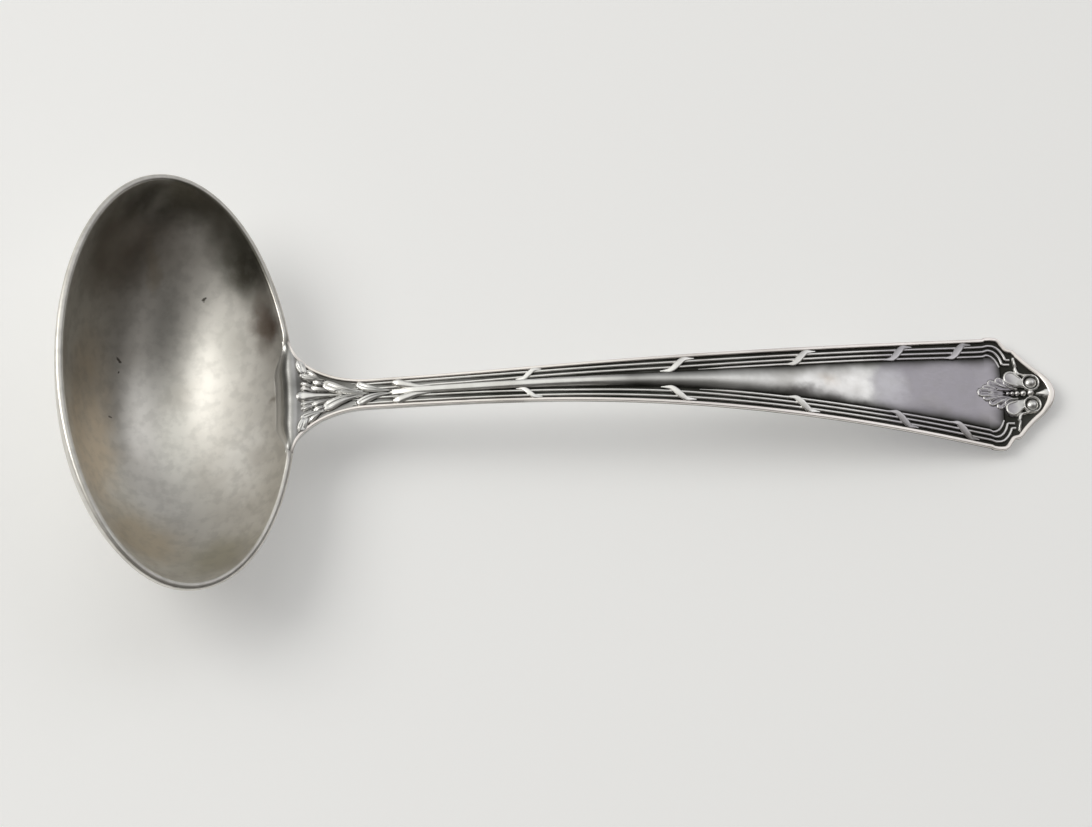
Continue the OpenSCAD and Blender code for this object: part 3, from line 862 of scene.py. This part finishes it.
def edge_half(x):
    slopes = EDGE_SLOPES * ease(tip_x - 8.5, tip_x - 5, x)
    broad = slopes + EDGE_TIP * ease(tip_x - 2.6, tip_x - 0.4, x)
    return EDGE_HALF - EDGE_NECK * (1 - ease(-30, 40, x)) + broad


edge_x = np.concatenate([root_part[::2], np.linspace(neck_x + 0.5, 75, 130),
                         np.arange(75.1, tip_x - 0.5, 0.08), last_part[:-1]])
outline = np.stack([edge_x, half_width(edge_x)], 1)
outline = np.concatenate([outline * [1, -1], [[tip_x, 0]], outline[::-1]])
along = np.gradient(outline, axis=0)
inward = unit(np.stack([-along[:, 1], along[:, 0]], 1))
half = edge_half(outline[:, 0])
middle = outline + inward * half[:, None]
# Inside sharp corners the line would cross itself, so points too near the outline are left out
room = np.sqrt(np.square(middle[:, None] - outline[None]).sum(-1)).min(1)
clear = room > 0.93 * half
middle, half = middle[clear], half[clear]
softened = middle.copy()
for _ in range(12):
    softened[1:-1] = (softened[:-2] + 2 * softened[1:-1] + softened[2:]) / 4
pull = ease(tip_x - 2.6, tip_x - 1.2, middle[:, :1])
middle = middle * (1 - pull) + softened * pull
edge_path = on_handle(middle[:, 0], middle[:, 1], BED)
edge = swept("raised_edge", [edge_path], [half], 1.0, 0.45)

# %% The reeds
# Each reed: its share of the border's width, where it starts, whether it moves inwards on the
# neck, and how it turns past the shoulders, back from the tip and out from the middle line.
# On the slim neck the inner reed is one with the rib, and the middle one lies close to it.
REEDS = [
    (0.43, -60, False, [(11.5, 9.42), (10.8, 9.38), (10.2, 9.15), (9.5, 8.55), (8.95, 7.8),
                        (8.62, 7.1), (8.52, 6.82), (8.4, 6.72), (8.1, 6.7), (7.75, 6.7)]),
    (0.69, -60, True, [(11.6, 8.5), (10.9, 8.35), (10.3, 7.95), (9.72, 7.2), (9.4, 6.5),
                       (9.26, 6.05), (9.18, 5.86), (9.0, 5.78), (8.4, 5.78), (7.85, 5.78)]),
    (0.94, 24, False, [(12.0, 7.52), (11.35, 7.35), (10.75, 6.9), (10.25, 6.2), (9.95, 5.5),
                       (9.8, 5.15)]),
]
REED_HALF = 0.235
reed_paths, reed_halves = [], []
for share, reed_from, moves, turn in REEDS:
    start = max(root_x + 10, reed_from)
    xs = np.linspace(start, tip_x - 12.7, 150)
    closer = moves * (0.18 - 0.12 * ease(-20, 5, xs) - 0.06 * ease(15, 35, xs))
    ys = half_width(xs) - band(xs) * (share + closer)
    rough = np.concatenate([np.stack([xs[-3:], ys[-3:]], 1), from_tip(turn)])
    steps = np.concatenate([[0], np.cumsum(np.linalg.norm(np.diff(rough, axis=0), axis=1))])
    fine = np.arange(steps[2], steps[-1], 0.1)
    curve = np.stack([through(fine, steps, rough[:, 0]), through(fine, steps, rough[:, 1])], 1)
    xy = np.concatenate([np.stack([xs[:-1], ys[:-1]], 1), curve])
    half = REED_HALF * (0.3 + 0.7 * ease(start, start + 6, xy[:, 0]))
    add_sides(reed_paths, reed_halves, xy[:, 0], xy[:, 1], BED, half)
reeds = swept("reeds", reed_paths, reed_halves, 1.1, 0.7)

# %% The ribbons
# Each starts and ends as a fine tail along a reed and crosses the border in a flat S; its place
# is a distance back from the tip, and then comes half its length
RIBBONS = ((95.6, 2.3), (69.1, 3.1), (46.8, 2.9), (28.7, 2.7), (17.4, 2.6))
RIBBON_HALF, TAIL = 0.64, 0.1
# Where it starts and how far it crosses, as shares of the border's width
RIBBON_FROM, RIBBON_ACROSS = 0.96, 0.66
ribbon_paths, ribbon_halves = [], []
for back, ribbon_reach in RIBBONS:
    t = np.linspace(0, 1, 64)
    x0 = tip_x - back
    xs = x0 + (2 * t - 1) * ribbon_reach
    ys = half_width(xs) - band(xs) * (RIBBON_FROM - RIBBON_ACROSS * ease(0.24, 0.76, t))
    width = RIBBON_HALF * (band(x0) / band_at_end) ** 0.8
    half = TAIL + (width - TAIL) * np.sin(math.pi * t) ** 1.5
    rise = 0.02 + 0.05 * np.sin(math.pi * t)
    add_sides(ribbon_paths, ribbon_halves, xs, ys, rise, half)
ribbons = swept("ribbons", ribbon_paths, ribbon_halves, 0.42, 0.5)

# %% [markdown]
# ## Beads
# Five beads grow along the middle line towards the tip. Points that carry a size each get an
# instance of one sphere, and the instances are made real.


# %% The beads
def bead_tree():
    tree, source, result = new_tree("beads on points", "GeometryNodeTree", {
        "Geometry": SHAPE, "Segments": "NodeSocketInt", "Finish": "NodeSocketMaterial",
    }, {"Geometry": SHAPE})
    new = tree.nodes.new
    ball, place = new("GeometryNodeMeshUVSphere"), new("GeometryNodeInstanceOnPoints")
    fill(tree, ball, {"Rings": 14, "Radius": 1.0})
    size, smooth = half_sizes(tree), new("GeometryNodeSetShadeSmooth")
    real, finish = new("GeometryNodeRealizeInstances"), new("GeometryNodeSetMaterial")
    wire(tree, [
        (source, "Geometry", place, "Points"), (source, "Segments", ball, "Segments"),
        (ball, "Mesh", place, "Instance"), (size, "Attribute", place, "Scale"),
        (place, "Instances", real, "Geometry"), (real, "Geometry", smooth, "Geometry"),
        (smooth, "Geometry", finish, "Geometry"), (source, "Finish", finish, "Material"),
        (finish, "Geometry", result, "Geometry"),
    ])
    return tree


# Distance back from the tip, and size as a share of a full bead
BEADS = np.array([(8.65, 0.62), (7.85, 0.68), (6.95, 0.78), (5.85, 0.9), (4.5, 1.03)])
bead_r = bead_radius * BEADS[:, 1]
bead_at = on_handle(tip_x - BEADS[:, 0], np.zeros(5), -ground_depth + 0.15 + bead_r * 0.5)
bead_points = path_object("bead_points", [bead_at], [bead_r])
beads = run_tree("beads", bead_points, bead_tree(), {"Segments": 20})
print("beads:", len(beads.data.polygons), "faces")

# %% [markdown]
# ## Toned silver
# Old silver keeps a dark tone wherever polishing doesn't reach, so the grooves are almost black
# and the crests bright. One node group mixes the two from one value, which also carries painted
# shade on the handle's sides and painted shade and light on the roll over the lip, adds grain,
# fine brushing and soft patches of tone, and gives the roughness and the bump that go with them.


# %% Shader nodes
def mix_colour(tree, factor, a, b):
    node = tree.nodes.new("ShaderNodeMix")
    node.data_type = "RGBA"
    return fill(tree, node, {0: factor, 6: a, 7: b}).outputs[2]


def maths(tree, what, *values):
    node = tree.nodes.new("ShaderNodeMath")
    node.operation = what
    return fill(tree, node, dict(enumerate(values))).outputs[0]


def vector_maths(tree, what, *values):
    node = tree.nodes.new("ShaderNodeVectorMath")
    node.operation = what
    result = "Value" if what in ("LENGTH", "DOT_PRODUCT") else "Vector"
    return fill(tree, node, dict(enumerate(values))).outputs[result]


def step_between(tree, value, low, high):
    node = tree.nodes.new("ShaderNodeMapRange")
    node.interpolation_type = "SMOOTHSTEP"
    inputs = {"Value": value, "From Min": low, "From Max": high}
    return fill(tree, node, inputs).outputs["Result"]


def noise(tree, vector, scale, detail=3.0, stretch=None, result="Fac"):
    if stretch:
        mapping = tree.nodes.new("ShaderNodeMapping")
        fill(tree, mapping, {"Vector": vector, "Scale": stretch})
        vector = mapping.outputs["Vector"]
    node = tree.nodes.new("ShaderNodeTexNoise")
    inputs = {"Vector": vector, "Scale": scale, "Detail": detail}
    return fill(tree, node, inputs).outputs[result]


def attribute(tree, name):
    node = tree.nodes.new("ShaderNodeAttribute")
    node.attribute_name = name
    return node.outputs["Fac"]


print("shader helpers ready")


# %% The shared tone group
TARNISH, WORN = (0.042, 0.042, 0.036), (0.92, 0.91, 0.88)
THIN_TONE, SPECKS = (0.5, 0.47, 0.42), (0.3, 0.29, 0.26)


def tone_group():
    """Colour, roughness and height of silver: at 1 it is black, from tarnish and, on the handle's
    sides and roll, from painted shade; below 0 it is bright, from wear and, on the roll, from
    painted light.
    """
    tree, source, result = new_tree("toned silver", "ShaderNodeTree", {
        "Vector": "NodeSocketVector", "Silver": "NodeSocketColor", "Tarnish_and_painted_light": NUMBER,
        "Mottle": NUMBER, "Satin": NUMBER,
    }, {"Colour": "NodeSocketColor", "Roughness": NUMBER, "Height": NUMBER})
    vector, silver, tarnish_and_painted_light, mottle, satin = source.outputs[:5]
    patch = noise(tree, vector, 90.0)
    grain = noise(tree, vector, 2600.0, 2.0)
    brushing = noise(tree, vector, 900.0, stretch=(1.0, 8.0, 1.0))
    uneven = maths(tree, "MULTIPLY_ADD", patch, 0.5, -0.25)
    dark = step_between(tree, maths(tree, "ADD", tarnish_and_painted_light, uneven), 0.42, 0.95)
    thin = maths(tree, "MULTIPLY", step_between(tree, patch, 0.45, 0.75), 0.5)
    specks = step_between(tree, noise(tree, vector, 520.0, 6.0), 0.42, 0.66)
    worn = step_between(tree, tarnish_and_painted_light, 0.0, -0.8)
    toned = mix_colour(tree, thin, silver, THIN_TONE)
    toned = mix_colour(tree, maths(tree, "MULTIPLY", specks, mottle), toned, SPECKS)
    toned = mix_colour(tree, worn, toned, WORN)
    toned = mix_colour(tree, dark, toned, TARNISH)
    rough = maths(tree, "MULTIPLY_ADD", dark, 0.25, 0.23)
    rough = maths(tree, "ADD", rough, maths(tree, "MULTIPLY", brushing, 0.15))
    rough = maths(tree, "ADD", rough, satin)
    rough = maths(tree, "ADD", rough, maths(tree, "MULTIPLY", worn, 0.15))
    height = maths(tree, "MULTIPLY", grain, 0.3)
    height = maths(tree, "ADD", height, maths(tree, "MULTIPLY", brushing, 0.7))
    fill(tree, result, {"Colour": toned, "Roughness": rough, "Height": height})
    return tree


TONE = tone_group()
print("tone group:", len(TONE.nodes), "nodes")


# %% Stains and painted light
STAIN_AND_LIGHT_NOISE, STAIN_AND_LIGHT_WANDER = 220.0, 5.0


def stain_and_painted_light_patch(tree, place, colour, stain_and_light_colour, at, spread, strength, soft):
    """Mixes in one soft-edged patch round a place in millimetres: a stain, a painted highlight, a
    painted shade.
    """
    shift = vector_maths(tree, "SUBTRACT", place, [v * MM for v in at])
    squeeze = vector_maths(tree, "MULTIPLY", shift, [1 / (v * MM) for v in spread])
    size = vector_maths(tree, "LENGTH", squeeze)
    share = step_between(tree, size, 1.0, 1.0 - soft)
    return mix_colour(tree, maths(tree, "MULTIPLY", share, strength), colour, stain_and_light_colour)


def wander(tree, place):
    """The same places, moved about by a noise so that stains and painted light get uneven edges.
    """
    moves = noise(tree, place, STAIN_AND_LIGHT_NOISE, 4.0, result="Color")
    centred = vector_maths(tree, "SUBTRACT", moves, (0.5, 0.5, 0.5))
    return vector_maths(tree, "MULTIPLY_ADD", centred, (STAIN_AND_LIGHT_WANDER * MM,) * 3, place)


print("stains are places, spreads and colours")

# %% The silver of the handle and the bowl
GRAIN_DISTANCE = 0.00002


def silver_material(name, colour, tarnish_and_painted_light, bump=0.12, mottle=0.12, stains_and_painted_light=(), satin=0.0,
                    within=None):
    """Silver. Its value of tarnish and painted light, and where it takes stains and painted light,
    can be the name of an attribute.
    """
    material = bpy.data.materials.new(name)
    material.use_nodes = True
    tree = material.node_tree
    place = tree.nodes.new("ShaderNodeTexCoord").outputs["Object"]
    toned = colour
    if stains_and_painted_light:
        uneven = wander(tree, place)
        for row in stains_and_painted_light:
            toned = stain_and_painted_light_patch(tree, uneven, toned, *row)
    if within:
        toned = mix_colour(tree, attribute(tree, within), colour, toned)
    if isinstance(tarnish_and_painted_light, str):
        tarnish_and_painted_light = attribute(tree, tarnish_and_painted_light)
    tone, relief = tree.nodes.new("ShaderNodeGroup"), tree.nodes.new("ShaderNodeBump")
    tone.node_tree = TONE
    fill(tree, tone, {"Vector": place, "Silver": toned, "Tarnish_and_painted_light": tarnish_and_painted_light, "Mottle": mottle,
                      "Satin": satin})
    fill(tree, relief, {"Strength": bump, "Distance": GRAIN_DISTANCE,
                        "Height": tone.outputs["Height"]})
    fill(tree, tree.nodes["Principled BSDF"], {
        "Metallic": 1.0, "Base Color": tone.outputs["Colour"],
        "Roughness": tone.outputs["Roughness"], "Normal": relief.outputs["Normal"],
    })
    return material


# Colour, place, spread, strength and softness of the bowl's tone: tarnish as it stands on the old
# piece, and in the warm wall tones and the dark patches partly painted reflections of light and
# dark surroundings
BOWL_STAINS_AND_PAINTED_LIGHT = (
    ((0.66, 0.55, 0.41), (-85, -4, 10), (8, 26, 12), 0.75, 0.7),
    ((0.55, 0.46, 0.33), (-76, -26, 10), (12, 12, 9), 0.7, 0.7),
    ((0.24, 0.20, 0.16), (-78, 30, 17), (15, 17, 12), 0.85, 0.75),
    ((0.12, 0.115, 0.09), (-56, 30, 15), (9, 17, 11), 0.9, 0.6),
    ((0.06, 0.055, 0.04), (-55, 25, 12.5), (5, 9, 6), 0.7, 0.9),
    ((0.08, 0.075, 0.06), (-71, 37, 19), (13, 8, 8), 0.85, 0.8),
    # Painted shade that dims a reflection
    ((0.5, 0.49, 0.45), (-59, 13.5, 5.5), (6, 8, 6), 0.6, 0.9),
    # A painted highlight that draws the lamp's highlight out longer
    ((1.0, 0.99, 0.95), (-57, -11, 6.5), (7, 12, 6), 0.95, 0.9),
    ((0.15, 0.14, 0.11), (-64, 37, 19), (9, 8, 9), 0.8, 0.7),
    ((0.44, 0.41, 0.30), (-61, -31, 12), (11, 9, 9), 0.7, 0.8),
    ((0.12, 0.075, 0.05), (-52.6, 15, 10.5), (3.6, 8, 6), 0.9, 0.8),
    ((0.50, 0.43, 0.32), (-72.5, 27, 10), (1.6, 7, 9), 0.6, 0.9),
)
PITS = (
    ((0.03, 0.025, 0.02), (-50.9, 0.7, 9.6), (0.65, 0.65, 1.2), 0.95, 0.5),
    ((0.18, 0.12, 0.07), (-52.0, 0.6, 8.8), (1.6, 0.9, 2), 0.5, 0.9),
)
SMALL_PITS = (((-63.5, 21.3, 6.6), 0.4, 0.4), ((-79.3, 11.6, 5.4), 0.4, 0.5),
              ((-79.6, 9.1, 4.9), 0.35, 0.35), ((-80.9, 0.6, 4.9), 0.35, 0.4))
for at, wide, tall in SMALL_PITS:
    PITS += (((0.05, 0.04, 0.03), at, (wide, tall, 1), 0.9, 0.5),)
# Tarnish on the handle, and painted light and shade on its field
HANDLE_STAINS_AND_PAINTED_LIGHT = (
    # A bright patch on the field: partly polish, partly a painted highlight
    ((0.98, 0.97, 0.95), (49, 0, 8), (9, 8, 9), 0.95, 0.6),
    ((0.34, 0.322, 0.35), (68.8, 0, 4), (15.4, 16, 14), 0.95, 0.22),
    ((0.56, 0.55, 0.57), (58.4, 0, 6.5), (4.8, 9, 8), 0.8, 0.9),
    # Painted shade along the field's lower side, where it mirrors dark surroundings
    ((0.1, 0.09, 0.09), (40, -3.2, 8.5), (13, 2.9, 14), 0.9, 0.7),
    ((0.1, 0.09, 0.09), (50, -4.6, 7.5), (11, 2.6, 14), 0.9, 0.7),
    ((0.55, 0.42, 0.30), (47, 0.5, 9), (3, 2.2, 4), 0.4, 0.9),
    ((0.06, 0.05, 0.045), (48.6, 2.2, 7), (0.4, 0.4, 3), 0.8, 0.5),
)
REED_STAINS = (((0.55, 0.53, 0.55), (67.8, 0, 4), (16.2, 20, 14), 0.9, 0.3),)
handle_silver = silver_material("handle_silver", (0.76, 0.755, 0.73), "tarnish_and_painted_light",
                                stains_and_painted_light=HANDLE_STAINS_AND_PAINTED_LIGHT)
crest_silver = silver_material("crest_silver", (0.92, 0.91, 0.88), "tarnish_and_painted_light", stains_and_painted_light=REED_STAINS)
# The raised edge's warm tint is a painted reflection of warm surroundings
rim_silver = silver_material("rim_silver", (0.9, 0.85, 0.81), "tarnish_and_painted_light", bump=0.03, mottle=0.0)
bowl_silver = silver_material("bowl_silver", (0.76, 0.74, 0.69), 0.0, bump=0.25, mottle=0.2,
                              stains_and_painted_light=BOWL_STAINS_AND_PAINTED_LIGHT + PITS, satin=0.1, within="within")
print("four finishes,", len(BOWL_STAINS_AND_PAINTED_LIGHT + PITS), "stains and pits in the bowl")


# %% Tarnish on the swept pieces
def ground_z(x, y):
    return on_handle(x, y, -ground_depth)[..., 2]


def mark_flanks(piece, height):
    """Flanks near the ground hold tarnish, and crests don't."""
    mesh = piece.data
    co = np.empty(len(mesh.vertices) * 3, np.float32)
    mesh.vertices.foreach_get("co", co)
    co = co.reshape(-1, 3) / MM
    rise = (co[:, 2] - ground_z(co[:, 0], co[:, 1])) / height
    tarnish_and_painted_light = (1 - ease(0.1, 0.85, rise)) * groove_tone(co[:, 0]) / GROOVE_WIDE
    mark_points(mesh, "tarnish_and_painted_light", tarnish_and_painted_light)


# Each swept piece with its height over the ground
for piece, height in ((edge, 0.45), (reeds, 0.36), (ribbons, 0.45), (beads, 0.9)):
    mark_flanks(piece, height)
    piece.data.materials.clear()
    piece.data.materials.append(rim_silver if piece == edge else crest_silver)
lengths = (root_piece, shaft_piece, end_piece)
for piece in lengths:
    piece.data.materials.append(handle_silver)
bowl.data.materials.append(bowl_silver)
print("flanks marked")

# %% [markdown]
# ## Riding and standing in
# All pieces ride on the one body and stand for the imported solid.

# %% The pieces ride on the ladle
pieces = (*lengths, bowl, edge, reeds, ribbons, beads)
for piece in pieces:
    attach(piece, "root")
    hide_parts("ladle")
print("pieces:", sum(len(p.data.polygons) for p in pieces), "faces")

# %% [markdown]
# ## The studio
# A pale floor and plain soft light. Silver shows what is round it, so a broad lamp beyond the
# bowl's end and pale surroundings that darken towards the floor give it something to mirror.

# %% The floor
floor_mesh = bpy.data.meshes.new("floor")
floor_mesh.from_pydata([(-3, -3, 0), (3, -3, 0), (3, 3, 0), (-3, 3, 0)], [], [(0, 1, 2, 3)])
floor = new_object("floor", floor_mesh)
floor_material = bpy.data.materials.new("pale_floor")
floor_material.use_nodes = True
tree = floor_material.node_tree
rays = tree.nodes.new("ShaderNodeLightPath").outputs
seen = maths(tree, "MAXIMUM", rays["Is Camera Ray"], rays["Is Glossy Ray"])
seen = maths(tree, "MAXIMUM", seen, rays["Is Transmission Ray"])
FLOOR_COLOUR, FLOOR_LIFT = (0.8, 0.8, 0.79), 0.3
fill(tree, tree.nodes["Principled BSDF"], {
    "Base Color": FLOOR_COLOUR, "Roughness": 0.9, "Emission Color": FLOOR_COLOUR,
    "Emission Strength": maths(tree, "MULTIPLY", seen, FLOOR_LIFT),
})
floor.data.materials.append(floor_material)
print("floor at z = 0")


# %% The lamp
# A round soft box that looks at the ladle's middle; metres and watts
KEY_FROM = (-0.67, 0.2, 0.71)
KEY_DISTANCE, KEY_SIZE, KEY_POWER = 1.1, 0.7, 4.2
lamp_data = bpy.data.lights.new("key", "AREA")
lamp_data.shape, lamp_data.size, lamp_data.energy = "DISK", KEY_SIZE, KEY_POWER
lamp_data.color = (1.0, 0.99, 0.96)
lamp = new_object("key", lamp_data)
away = Vector(KEY_FROM).normalized()
lamp.location = away * KEY_DISTANCE
lamp.rotation_euler = away.to_track_quat("Z", "Y").to_euler()
print("key lamp from", KEY_FROM)

# %% The surroundings
world = bpy.data.worlds.new("studio")
bpy.context.scene.world = world
world.use_nodes = True
tree = world.node_tree
where = tree.nodes.new("ShaderNodeTexCoord").outputs["Generated"]
# Each patch of light or dark: its direction, where it starts and is full as a cosine, its colour
PATCHES = [
    ((0, 0, 1), 0.3, 0.9, (0.3, 0.29, 0.28)),
    ((-0.1, 1, 0.25), 0.15, 0.75, (0.42, 0.42, 0.43)),
    ((-0.3, 0.5, 0.81), 0.88, 0.975, (0.72, 0.73, 0.73)),
    ((-0.08, 0.42, 0.9), 0.94, 0.985, (1.15, 1.16, 1.12)),
    ((-0.72, 0.5, 0.48), 0.8, 0.97, (0.8, 0.8, 0.76)),
    ((0.52, 0.4, 0.76), 0.93, 0.985, (1.15, 1.15, 1.17)),
    ((-0.95, 0.1, 0.28), 0.94, 0.99, (0.3, 0.3, 0.29)),
    (KEY_FROM, 0.82, 0.97, (0.85, 0.84, 0.82)),
    ((0.12, -0.32, 0.94), 0.9, 0.975, (0.03, 0.028, 0.025)),
]
surround = (0.035, 0.03, 0.027)
for direction, start, full, colour in PATCHES:
    facing = vector_maths(tree, "DOT_PRODUCT", where, unit(np.array(direction)).tolist())
    surround = mix_colour(tree, step_between(tree, facing, start, full), surround, colour)
fill(tree, tree.nodes["Background"], {"Color": surround, "Strength": 1.0})
bpy.context.scene.view_settings.view_transform = "Standard"
print("surroundings with", len(PATCHES), "patches, bright behind the ladle and dark in front")
